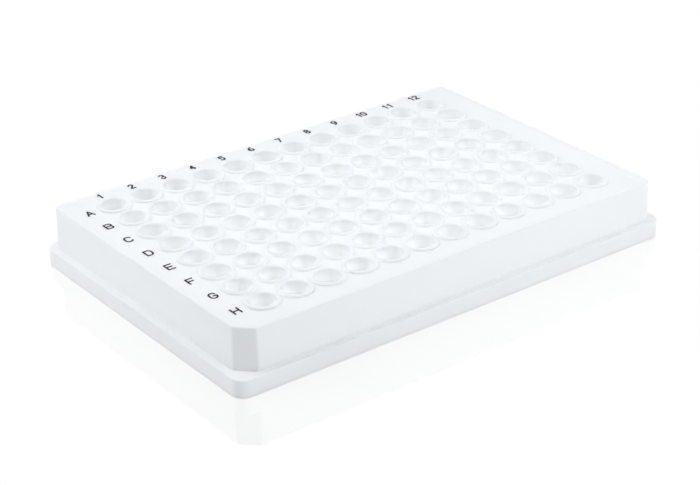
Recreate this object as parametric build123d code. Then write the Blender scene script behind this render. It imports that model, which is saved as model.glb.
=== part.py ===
from build123d import *
import math
import os

# 96-well plate, full skirt, moulded in one piece, with its rows and columns printed on the deck.
# Frame: Z = 0 is the surface that the plate stands on, the origin is the middle of the footprint,
# +X runs from column 1 to column 12 and +Y from row H to row A. All lengths are in millimetres.

# ---- well grid
PITCH = 9.0  # between neighbouring wells, both ways
COLUMNS = 12
ROWS = 8
EDGE_TO_COLUMN = 14.38  # footprint's short edge to the first column's centre
EDGE_TO_ROW = 11.24  # footprint's long edge to the first row's centre

# ---- footprint flange
FLANGE_HEIGHT = 4.4
FLANGE_CORNER = 3.18
FLANGE_DRAFT = 1.0  # degrees

# ---- skirt and deck
DECK_HEIGHT = 15.0  # deck's top face above the standing surface
LEDGE_LONG_SIDE = 1.6  # step from flange to skirt, along the two long sides
LEDGE_SHORT_SIDE = 2.2  # the same, along the two short sides
SKIRT_CORNER = 2.0
SKIRT_DRAFT = 1.5  # degrees
DECK_EDGE_ROUND = 0.35
CUT_CORNER = 4.1  # each leg of the cut corner, next to the first well of the last row
CUT_CORNER_ROUND = 1.0
WALL = 1.2
DECK_THICKNESS = 1.2

# ---- one well
NECK = 4.6  # inner diameter where the mouth's funnel ends
FUNNEL_DEPTH = 3.2  # from the rim's top to the neck
FUNNEL_FLARE = 0.85  # how much wider the funnel is at its top than the neck, on each side
RIM_WIDTH = 1.15
RIM_HEIGHT = 0.5  # above the deck
RIM_BEVEL = 0.2  # on the rim's outer and inner edges
TUBE_WALL = 0.45
TIP_BORE = 1.5  # inner diameter of the tip, where the cone ends
TIP_FLOOR = 0.6  # thickness of the tip's floor
TIP_CLEARANCE = 0.9  # tip above the standing surface

# ---- round ejector marks in the deck
MARK_DIAMETER = 3.0
MARK_DEPTH = 0.06
MARK_FROM_SIDE = 4.2  # from the deck's edge, to the mark's centre

# ---- print
INK = 0.04  # thickness of the printed layer
PEN = 0.42  # width of a printed stroke
LETTER_HEIGHT = 2.4  # between the middles of the top and bottom strokes
LETTER_WIDTH = 1.7
DIGIT_HEIGHT = 2.1
DIGIT_WIDTH = 1.15
DIGIT_GAP = 0.45  # between the digits of a two-digit number, from middle line to middle line
LETTERS_TO_COLUMN = 7.0  # letters' centres to the first column's centre
NUMBERS_TO_ROW = 6.9  # numbers' centres to the first row's centre

# ---- sizes that follow from those above
SPAN_X = (COLUMNS - 1) * PITCH
SPAN_Y = (ROWS - 1) * PITCH
FOOT_LENGTH = SPAN_X + 2 * EDGE_TO_COLUMN
FOOT_WIDTH = SPAN_Y + 2 * EDGE_TO_ROW
FLANGE_LEAN = FLANGE_HEIGHT * math.tan(math.radians(FLANGE_DRAFT))
SKIRT_LENGTH = FOOT_LENGTH - 2 * (FLANGE_LEAN + LEDGE_SHORT_SIDE)
SKIRT_WIDTH = FOOT_WIDTH - 2 * (FLANGE_LEAN + LEDGE_LONG_SIDE)
SKIRT_RISE = DECK_HEIGHT - FLANGE_HEIGHT
SKIRT_LEAN = SKIRT_RISE * math.tan(math.radians(SKIRT_DRAFT))
RIM_TOP = DECK_HEIGHT + RIM_HEIGHT
MOUTH = NECK + 2 * FUNNEL_FLARE
RIM_DIAMETER = MOUTH + 2 * RIM_WIDTH
DIGIT_STEP = DIGIT_WIDTH + DIGIT_GAP
WELLS = GridLocations(PITCH, PITCH, COLUMNS, ROWS)


def flange_outline():
    """Footprint of the flange at the standing surface."""
    return RectangleRounded(FOOT_LENGTH, FOOT_WIDTH, FLANGE_CORNER)


def skirt_outline():
    """Foot of the skirt, where it rises from the flange: three round corners and a cut one."""
    x, y = SKIRT_LENGTH / 2, SKIRT_WIDTH / 2
    cut_ends = [(-x, CUT_CORNER - y), (CUT_CORNER - x, -y)]
    square_corners = [(x, -y), (x, y), (-x, y)]
    outline = make_face(Polyline(*cut_ends, *square_corners, close=True))
    outline = fillet(corners_at(outline, square_corners), SKIRT_CORNER)
    return fillet(corners_at(outline, cut_ends), CUT_CORNER_ROUND)


def corners_at(outline, points):
    """Vertices of an outline that lie at the given points."""
    return [outline.vertices().sort_by_distance(point)[0] for point in points]


def shell():
    """Flange, skirt and deck, open below."""
    flange = extrude(flange_outline(), FLANGE_HEIGHT, taper=FLANGE_DRAFT)
    skirt = Pos(0, 0, FLANGE_HEIGHT) * extrude(skirt_outline(), SKIRT_RISE, taper=SKIRT_DRAFT)
    skirt = fillet(skirt.edges().group_by(Axis.Z)[-1], DECK_EDGE_ROUND)
    under_flange = extrude(
        offset(flange_outline(), -WALL), FLANGE_HEIGHT - WALL, taper=FLANGE_DRAFT
    )
    under_deck = Pos(0, 0, FLANGE_HEIGHT - WALL) * extrude(
        offset(skirt_outline(), -WALL),
        SKIRT_RISE + WALL - DECK_THICKNESS,
        taper=SKIRT_DRAFT,
    )
    return flange + skirt - under_flange - under_deck


def turned(points):
    """Solid turned about Z from (radius, height) points that start and end on the axis."""
    return revolve(make_face(Polyline(*[(r, 0, z) for r, z in points], close=True)), Axis.Z)


def tube():
    """One tube with its raised rim, not yet bored."""
    rim = RIM_DIAMETER / 2
    in_deck = DECK_HEIGHT - DECK_THICKNESS / 2
    return turned(
        [
            (0, TIP_CLEARANCE),
            (TIP_BORE / 2 + TUBE_WALL, TIP_CLEARANCE),
            (NECK / 2 + TUBE_WALL, RIM_TOP - FUNNEL_DEPTH),
            (MOUTH / 2 + TUBE_WALL, in_deck),
            (rim, in_deck),
            (rim, RIM_TOP - RIM_BEVEL),
            (rim - RIM_BEVEL, RIM_TOP),
            (0, RIM_TOP),
        ]
    )


def bore():
    """What is taken out of one tube."""
    return turned(
        [
            (0, TIP_CLEARANCE + TIP_FLOOR),
            (TIP_BORE / 2, TIP_CLEARANCE + TIP_FLOOR),
            (NECK / 2, RIM_TOP - FUNNEL_DEPTH),
            (MOUTH / 2, RIM_TOP - RIM_BEVEL),
            (MOUTH / 2 + RIM_BEVEL, RIM_TOP),
            (0, RIM_TOP),
        ]
    )


def ejector_marks():
    """Shallow round marks near the deck's corners."""
    along = SKIRT_LENGTH / 2 - SKIRT_LEAN - MARK_FROM_SIDE
    across = SKIRT_WIDTH / 2 - SKIRT_LEAN - MARK_FROM_SIDE
    mark = Cylinder(MARK_DIAMETER / 2, 2 * MARK_DEPTH)
    return [Pos(x, y, DECK_HEIGHT) * mark for x in (-along, along) for y in (-across, across)]


def make_plate():
    plate = shell() + [well * tube() for well in WELLS]
    return plate - [well * bore() for well in WELLS] - ejector_marks()


# ---- print: each character is drawn by a round pen along straight lines and arcs, and is
# given by w and h, half the width and half the height of its strokes' middle lines


def ring(radius, height):
    """Circle in two halves, with its centre at the given height."""
    return [CenterArc((0, height), radius, start, 180) for start in (0, 180)]


def letter_a(w, h):
    return [Polyline((-w, -h), (0, h), (w, -h)), Line((-0.6 * w, -h / 3), (0.6 * w, -h / 3))]


def letter_b(w, h):
    r = h / 2
    spine = Polyline((w - r, h), (-w, h), (-w, -h), (w - r, -h))
    bowls = [ThreePointArc((w - r, y + r), (w, y), (w - r, y - r)) for y in (r, -r)]
    return [spine, Line((-w, 0), (w - r, 0)), *bowls]


def open_bowl(w, h, upper_gap, lower_gap):
    """Left side of a C or a G; each gap is an angle in degrees above or below the widest point."""
    y = h - w
    top = CenterArc((0, y), w, upper_gap, 180 - upper_gap)
    bottom = CenterArc((0, -y), w, 180, 180 - lower_gap)
    return [top, Line((-w, y), (-w, -y)), bottom]


def letter_c(w, h):
    return open_bowl(w, h, 25, 25)


def letter_d(w, h):
    r = w
    spine = Polyline((w - r, h), (-w, h), (-w, -h), (w - r, -h))
    shoulders = [CenterArc((w - r, h - r), r, 0, 90), CenterArc((w - r, r - h), r, 270, 90)]
    return [spine, Line((w, h - r), (w, r - h)), *shoulders]


def letter_e(w, h):
    return [Polyline((w, h), (-w, h), (-w, -h), (w, -h)), Line((-w, 0), (0.7 * w, 0))]


def letter_f(w, h):
    return [Polyline((w, h), (-w, h), (-w, -h)), Line((-w, 0), (0.7 * w, 0))]


def letter_g(w, h):
    return open_bowl(w, h, 25, 0) + [Polyline((w, w - h), (w, -0.1 * h), (0.1 * w, -0.1 * h))]


def letter_h(w, h):
    return [Line((-w, -h), (-w, h)), Line((w, -h), (w, h)), Line((-w, 0), (w, 0))]


def digit_0(w, h):
    y = h - w
    ends = [CenterArc((0, y), w, 0, 180), CenterArc((0, -y), w, 180, 180)]
    return ends + [Line((-w, y), (-w, -y)), Line((w, y), (w, -y))]


def digit_1(w, h):
    return [Polyline((-0.6 * w, 0.5 * h), (0.2 * w, h), (0.2 * w, -h))]


def digit_2(w, h):
    return [CenterArc((0, h - w), w, 0, 165), Polyline((w, h - w), (-w, -h), (w, -h))]


def digit_3(w, h):
    middle = (-0.2 * w, 0)
    upper = ThreePointArc((-0.85 * w, 0.75 * h), (0.9 * w, h / 2), middle)
    return [upper, ThreePointArc(middle, (w, -h / 2), (-w, -0.7 * h))]


def digit_4(w, h):
    return [Polyline((0.4 * w, -h), (0.4 * w, h), (-w, -0.4 * h), (w, -0.4 * h))]


def digit_5(w, h):
    knee = (-0.85 * w, 0.1 * h)
    return [Polyline((w, h), (-0.7 * w, h), knee), ThreePointArc(knee, (w, -0.3 * h), (-w, -0.75 * h))]


def digit_6(w, h):
    return ring(w, w - h) + [ThreePointArc((0.6 * w, h), (-0.7 * w, 0.4 * h), (-w, w - h))]


def digit_7(w, h):
    return [Polyline((-w, h), (w, h), (-0.3 * w, -h))]


def digit_8(w, h):
    small = h - w
    return ring(w, w - h) + ring(small, h - small)


def digit_9(w, h):
    return [Rot(0, 0, 180) * stroke for stroke in digit_6(w, h)]


LETTERS = [letter_a, letter_b, letter_c, letter_d, letter_e, letter_f, letter_g, letter_h]
DIGITS = [digit_0, digit_1, digit_2, digit_3, digit_4, digit_5, digit_6, digit_7, digit_8, digit_9]


def inked(strokes):
    """Strokes as one flat solid of ink that lies on the deck, centred on the origin."""
    face = Sketch() + [SlotArc(edge, PEN) for stroke in strokes for edge in stroke.edges()]
    return Pos(0, 0, DECK_HEIGHT) * extrude(face, INK)


def make_row_letters():
    x = -SPAN_X / 2 - LETTERS_TO_COLUMN
    rows = [SPAN_Y / 2 - PITCH * row for row in range(ROWS)]
    size = (LETTER_WIDTH / 2, LETTER_HEIGHT / 2)
    return Compound([Pos(x, y) * inked(letter(*size)) for letter, y in zip(LETTERS, rows)])


def make_column_numbers():
    y = SPAN_Y / 2 + NUMBERS_TO_ROW
    size = (DIGIT_WIDTH / 2, DIGIT_HEIGHT / 2)
    printed = []
    for column in range(COLUMNS):
        digits = str(column + 1)
        first = PITCH * column - SPAN_X / 2 - DIGIT_STEP * (len(digits) - 1) / 2
        for place, digit in enumerate(digits):
            printed.append(Pos(first + DIGIT_STEP * place, y) * inked(DIGITS[int(digit)](*size)))
    return Compound(printed)


os.makedirs("parts", exist_ok=True)
export_step(make_plate(), "parts/plate.step")
export_step(make_row_letters(), "parts/row_letters.step")
export_step(make_column_numbers(), "parts/column_numbers.step")
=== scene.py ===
import math

import bpy
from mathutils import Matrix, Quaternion, Vector

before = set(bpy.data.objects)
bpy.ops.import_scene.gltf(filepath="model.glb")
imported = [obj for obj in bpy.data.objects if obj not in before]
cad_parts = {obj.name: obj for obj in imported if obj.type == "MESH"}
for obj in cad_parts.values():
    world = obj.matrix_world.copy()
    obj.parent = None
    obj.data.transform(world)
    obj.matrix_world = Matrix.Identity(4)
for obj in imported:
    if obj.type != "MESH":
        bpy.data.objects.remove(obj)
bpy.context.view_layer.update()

# Lengths are in metres, angles in degrees and lamps in watts, unless a line says otherwise.

# ---- camera
CAMERA_AT = Vector((-0.25627, -0.34257, 0.21646))
CAMERA_AIM = Vector((-0.00068, 0.00127, 0.00122))
CAMERA_ROLL = -1.19
CAMERA_CLIP = 0.01
SENSOR = 36.0  # mm
LENS = 98.89  # mm

# ---- lamps
# softboxes, as seen from the plate: azimuth, elevation, distance, width, height, power
SOFTBOXES = {
    "left_back": (110, 40, 0.5, 0.4, 0.25, 0.42),
    "left": (145, 40, 0.5, 0.4, 0.25, 1.45),
    "front": (270, 38, 0.4, 0.3, 0.2, 0.5),
    "right": (311, 38, 0.4, 0.3, 0.2, 0.575),
    "right_back": (40, 45, 0.4, 0.4, 0.3, 0.475),
}
LAMP_COLOUR = (0.934, 0.968, 1.0)
PANEL_SIZE = (0.112, 0.07)  # lit panel that the plate stands over
PANEL_HEIGHT = 0.0004
PANEL_WATTS = 0.026
PANEL_COLOUR = (0.95, 0.985, 0.95)

# ---- floor
FLOOR_SIZE = 6.0
# as the camera sees it: its own white, what it mirrors and what it shows of the lamps
FLOOR_WHITE = 0.69
FLOOR_MIRROR = (0.295, 0.288, 0.283)  # evens out the lamps' tint
FLOOR_MIRROR_ROUGH = 0.03
FLOOR_SHADED = 0.035
# as it lights the plate: how much it sends back, and its own glow, as of a backlit table
FLOOR_BOUNCE = 0.9
FLOOR_GLOW = 0.145

# ---- noise in the materials
NOISE_LOW, NOISE_HIGH = 0.3, 0.7  # the part of its range that is put to use
PATCH_DETAIL, GRAIN_DETAIL = 2.0, 3.0
SHEEN_PATCHES = 5  # patches of sheen in the width of one patch of colour


def link(tree, source, target):
    tree.links.new(source, target)


def add_node(tree, kind, **settings):
    """New node with its attributes or, where there is no such attribute, its inputs set."""
    node = tree.nodes.new(kind)
    for name, value in settings.items():
        if hasattr(node, name):
            setattr(node, name, value)
        else:
            node.inputs[name.replace("_", " ")].default_value = value
    return node


def blank_tree(owner):
    owner.use_nodes = True
    owner.node_tree.nodes.clear()
    return owner.node_tree


def grey(level):
    return (level, level, level, 1)


def object_noise(tree, place, scale, detail=PATCH_DETAIL):
    """Noise in the object's own coordinates, with the scale in features per metre."""
    noise = add_node(tree, "ShaderNodeTexNoise", Scale=scale, Detail=detail)
    link(tree, place.outputs["Object"], noise.inputs["Vector"])
    return noise.outputs["Fac"]


def spread(tree, value, low, high):
    """Takes the middle of a noise to the range from low to high."""
    ranged = add_node(
        tree,
        "ShaderNodeMapRange",
        From_Min=NOISE_LOW,
        From_Max=NOISE_HIGH,
        To_Min=low,
        To_Max=high,
    )
    link(tree, value, ranged.inputs["Value"])
    return ranged.outputs["Result"]


def between(tree, value, first, second):
    """Colour that follows a noise from the first to the second."""
    ramp = add_node(tree, "ShaderNodeValToRGB")
    ends = ((NOISE_LOW, first), (NOISE_HIGH, second))
    for stop, (position, colour) in zip(ramp.color_ramp.elements, ends):
        stop.position = position
        stop.color = (*colour, 1)
    link(tree, value, ramp.inputs["Fac"])
    return ramp.outputs["Color"]


def surface_material(name, colours, patches, rough, grain_scale, grain_depth, **shader):
    """Principled surface with a slowly varying colour, an uneven sheen and a fine grain.

    The colour goes between the two colours, with so many patches per metre, and the
    roughness between the two ends of rough. The grain's scale is in features per metre.
    """
    material = bpy.data.materials.new(name)
    tree = blank_tree(material)
    place = add_node(tree, "ShaderNodeTexCoord")
    surface = add_node(tree, "ShaderNodeBsdfPrincipled", **shader)
    output = add_node(tree, "ShaderNodeOutputMaterial")
    bump = add_node(tree, "ShaderNodeBump", Strength=1.0, Distance=grain_depth)
    grain = object_noise(tree, place, grain_scale, GRAIN_DETAIL)
    link(tree, grain, bump.inputs["Height"])
    tone = between(tree, object_noise(tree, place, patches), *colours)
    link(tree, tone, surface.inputs["Base Color"])
    sheen = spread(tree, object_noise(tree, place, SHEEN_PATCHES * patches), *rough)
    link(tree, sheen, surface.inputs["Roughness"])
    link(tree, bump.outputs["Normal"], surface.inputs["Normal"])
    link(tree, surface.outputs["BSDF"], output.inputs["Surface"])
    return material


def seen_directly(tree):
    """1 for rays from the camera, mirrors and glass, 0 for light that falls on a surface."""
    path = add_node(tree, "ShaderNodeLightPath")
    total = path.outputs["Is Camera Ray"]
    for kind in ("Is Glossy Ray", "Is Transmission Ray"):
        larger = add_node(tree, "ShaderNodeMath", operation="MAXIMUM")
        link(tree, total, larger.inputs[0])
        link(tree, path.outputs[kind], larger.inputs[1])
        total = larger.outputs["Value"]
    return total


def diffuse(tree, level):
    return add_node(tree, "ShaderNodeBsdfDiffuse", Color=grey(level)).outputs["BSDF"]


def emission(tree, strength):
    white = add_node(tree, "ShaderNodeEmission", Color=grey(1), Strength=strength)
    return white.outputs["Emission"]


def summed(tree, first, second):
    both = add_node(tree, "ShaderNodeAddShader")
    link(tree, first, both.inputs[0])
    link(tree, second, both.inputs[1])
    return both.outputs["Shader"]


def floor_material():
    """White floor with a faint mirror image, and with its own light on the plate."""
    material = bpy.data.materials.new("white_floor")
    tree = blank_tree(material)
    mirror = add_node(
        tree,
        "ShaderNodeBsdfGlossy",
        Color=(*FLOOR_MIRROR, 1),
        Roughness=FLOOR_MIRROR_ROUGH,
    )
    lit = summed(tree, mirror.outputs["BSDF"], diffuse(tree, FLOOR_SHADED))
    seen = summed(tree, emission(tree, FLOOR_WHITE), lit)
    sent = summed(tree, diffuse(tree, FLOOR_BOUNCE), emission(tree, FLOOR_GLOW))
    either = add_node(tree, "ShaderNodeMixShader")
    output = add_node(tree, "ShaderNodeOutputMaterial")
    link(tree, seen_directly(tree), either.inputs["Fac"])
    link(tree, sent, either.inputs[1])
    link(tree, seen, either.inputs[2])
    link(tree, either.outputs["Shader"], output.inputs["Surface"])
    return material


def add_floor():
    half = FLOOR_SIZE / 2
    mesh = bpy.data.meshes.new("floor")
    corners = [(-half, -half, 0), (half, -half, 0), (half, half, 0), (-half, half, 0)]
    mesh.from_pydata(corners, [], [(0, 1, 2, 3)])
    mesh.materials.append(floor_material())
    floor = bpy.data.objects.new("floor", mesh)
    bpy.context.scene.collection.objects.link(floor)


def add_world():
    """White where it is looked at, and no light of its own."""
    world = bpy.data.worlds.new("white_world")
    tree = blank_tree(world)
    background = add_node(tree, "ShaderNodeBackground", Color=grey(1))
    output = add_node(tree, "ShaderNodeOutputWorld")
    link(tree, seen_directly(tree), background.inputs["Strength"])
    link(tree, background.outputs["Background"], output.inputs["Surface"])
    bpy.context.scene.world = world


def aimed(at, target):
    """Rotation that points a camera or a lamp from one place to another."""
    return (target - at).to_track_quat("-Z", "Y")


def add_lamp(name, at, target, width, height, watts, colour):
    """Area lamp that gives light but is never seen, in a mirror either."""
    data = bpy.data.lights.new(name, "AREA")
    data.shape = "RECTANGLE"
    data.size = width
    data.size_y = height
    data.color = colour
    data.energy = watts
    lamp = bpy.data.objects.new(name, data)
    lamp.location = at
    lamp.rotation_mode = "QUATERNION"
    lamp.rotation_quaternion = aimed(at, target)
    lamp.visible_glossy = False
    lamp.visible_camera = False
    bpy.context.scene.collection.objects.link(lamp)


def add_softbox(name, azimuth, elevation, distance, width, height, watts):
    turn, lift = math.radians(azimuth), math.radians(elevation)
    flat = math.cos(lift)
    at = distance * Vector((math.cos(turn) * flat, math.sin(turn) * flat, math.sin(lift)))
    add_lamp(name, at, Vector((0, 0, 0)), width, height, watts, LAMP_COLOUR)


def add_panel():
    """Light from below, which shows through the thin walls of the wells."""
    at = Vector((0, 0, PANEL_HEIGHT))
    add_lamp("panel", at, at + Vector((0, 0, 1)), *PANEL_SIZE, PANEL_WATTS, PANEL_COLOUR)


def add_camera():
    data = bpy.data.cameras.new("camera")
    data.sensor_width = SENSOR
    data.lens = LENS
    data.clip_start = CAMERA_CLIP
    camera = bpy.data.objects.new("camera", data)
    camera.location = CAMERA_AT
    camera.rotation_mode = "QUATERNION"
    roll = Quaternion((0, 0, 1), math.radians(CAMERA_ROLL))
    camera.rotation_quaternion = aimed(CAMERA_AT, CAMERA_AIM) @ roll
    bpy.context.scene.collection.objects.link(camera)
    bpy.context.scene.camera = camera


def dress(node_name, material):
    """Gives a CAD node its look."""
    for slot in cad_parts[node_name].material_slots:
        slot.material = material


plastic = surface_material(
    "white_plastic",
    colours=((0.982, 0.980, 0.976), (0.988, 0.986, 0.982)),
    patches=60,
    rough=(0.4, 0.5),
    grain_scale=2500,
    grain_depth=0.000004,
    Subsurface_Weight=1.0,
    Subsurface_Radius=(1.0, 1.0, 1.0),
    Subsurface_Scale=0.001,
)
ink = surface_material(
    "black_ink",
    colours=((0.010, 0.010, 0.012), (0.022, 0.021, 0.022)),
    patches=900,
    rough=(0.5, 0.65),
    grain_scale=9000,
    grain_depth=0.000002,
    Specular_IOR_Level=0.15,
)
dress("plate", plastic)
dress("row_letters", ink)
dress("column_numbers", ink)

add_floor()
add_world()
for softbox, setting in SOFTBOXES.items():
    add_softbox(softbox, *setting)
add_panel()
add_camera()
bpy.context.scene.view_settings.view_transform = "Standard"
